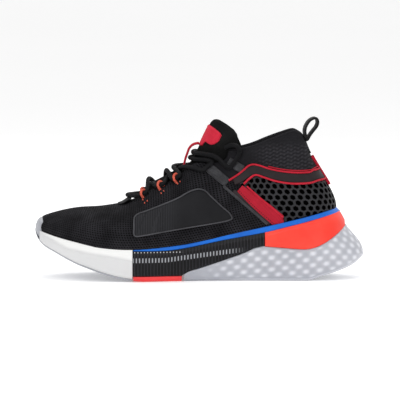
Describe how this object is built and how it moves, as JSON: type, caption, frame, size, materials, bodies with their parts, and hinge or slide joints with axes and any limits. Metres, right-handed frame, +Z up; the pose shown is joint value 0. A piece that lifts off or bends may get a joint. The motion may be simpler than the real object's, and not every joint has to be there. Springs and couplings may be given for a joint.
{
  "type": "basketball high top",
  "caption": "Left high-top basketball shoe: knitted upper, laces, padded tongue, heel pull loop and a layered sole with a dimpled heel pod.",
  "frame": {"origin": "on the floor under the middle of the shoe's bounding box", "axes": "+Z up, toe towards -X, heel towards +X, lateral side towards -Y (a left shoe)"},
  "size_m": [0.2986, 0.1084, 0.1458],
  "materials": {
    "grey_rubber": "satin moulded rubber, cool grey",
    "white_foam": "matt moulded foam, white",
    "red_rubber": "satin rubber, red",
    "black_cage": "satin ribbed moulding, black",
    "cloudy_pod": "cloudy cool grey moulding, satin",
    "orange_clip": "bright orange red moulding, satin",
    "blue_plate": "blue moulded plate, satin",
    "board": "stiff woven board",
    "sockliner": "knit-covered foam, black",
    "black_knit": "open knit, near black",
    "hexagon_mesh": "hexagon mesh, near black",
    "collar_knit": "ribbed stretch knit, near black",
    "lining": "soft brushed lining, black",
    "stiffener": "thermoplastic sheet",
    "film": "thin moulded film, charcoal",
    "outline_film": "raised film edge, dark grey",
    "red_webbing": "red woven edge",
    "grey_webbing": "ribbed webbing, charcoal",
    "band_fabric": "smooth dark band",
    "black_webbing": "herringbone webbing, black",
    "tongue_fabric": "padded fabric, black",
    "patch": "welded patch, red, plain",
    "lace": "braided round lace, black",
    "coral_cord": "braided cord, coral"
  },
  "bodies": {
    "shoe": {"midfoot_outsole_pad": "red_rubber", "midfoot_cage": "black_cage", "heel_pod": "cloudy_pod", "heel_clip": "orange_clip", "plate": "blue_plate", "midsole_core": "white_foam", "insole_board": "board", "sockliner": "sockliner", "vamp_flex": "black_knit", "knit_quarters": "black_knit", "heel_mesh": "hexagon_mesh", "collar_bootie": "collar_knit", "heel_counter": "stiffener", "collar_padding": "lining", "throat_patch": "film", "side_panel_lateral": "film", "panel_outline_lateral": "outline_film", "red_strap_lateral": "red_webbing", "webbing_strap_lateral": "grey_webbing", "lace_tab_lateral": "grey_webbing", "side_panel_medial": "film", "panel_outline_medial": "outline_film", "red_strap_medial": "red_webbing", "webbing_strap_medial": "grey_webbing", "lace_tab_medial": "grey_webbing", "ankle_band": "band_fabric", "band_piping_upper": "red_webbing", "band_piping_lower": "red_webbing", "heel_spine": "red_webbing", "pull_loop_anchor": "black_webbing", "tongue_base": "tongue_fabric", "lace_keeper": "red_webbing", "lace": "lace", "eyelet_loop_lateral_1": "coral_cord", "eyelet_loop_lateral_2": "coral_cord", "eyelet_loop_lateral_3": "coral_cord", "eyelet_loop_medial_1": "coral_cord", "eyelet_loop_medial_2": "coral_cord", "eyelet_loop_medial_3": "coral_cord"},
    "forefoot": {"forefoot_outsole": "grey_rubber", "forefoot_midsole": "white_foam", "forefoot_board": "board", "forefoot_sockliner": "sockliner", "toe_box": "black_knit", "toe_puff": "stiffener"},
    "tongue_top": {"tongue_flap": "tongue_fabric", "tongue_patch": "patch"},
    "pull_loop": {"pull_loop": "black_webbing"}
  },
  "joints": [
    {"name": "toe_flex", "type": "hinge", "parent": "shoe", "child": "forefoot", "pos_m": [-0.05975, 0, 0.0299], "axis": [0, 1, 0], "range_deg": [0, 25], "stiffness_Nm_per_rad": 4, "deforming": ["vamp_flex"]},
    {"name": "tongue_tilt", "type": "hinge", "parent": "shoe", "child": "tongue_top", "pos_m": [-0.00095, 0.0016, 0.1193], "axis": [0, -1, 0], "range_deg": [0, 25], "stiffness_Nm_per_rad": 0.05},
    {"name": "pull_loop_swing", "type": "hinge", "parent": "shoe", "child": "pull_loop", "pos_m": [0.0976, 0.0016, 0.1231], "axis": [0, 1, 0], "range_deg": [0, 40], "stiffness_Nm_per_rad": 0.01}
  ]
}
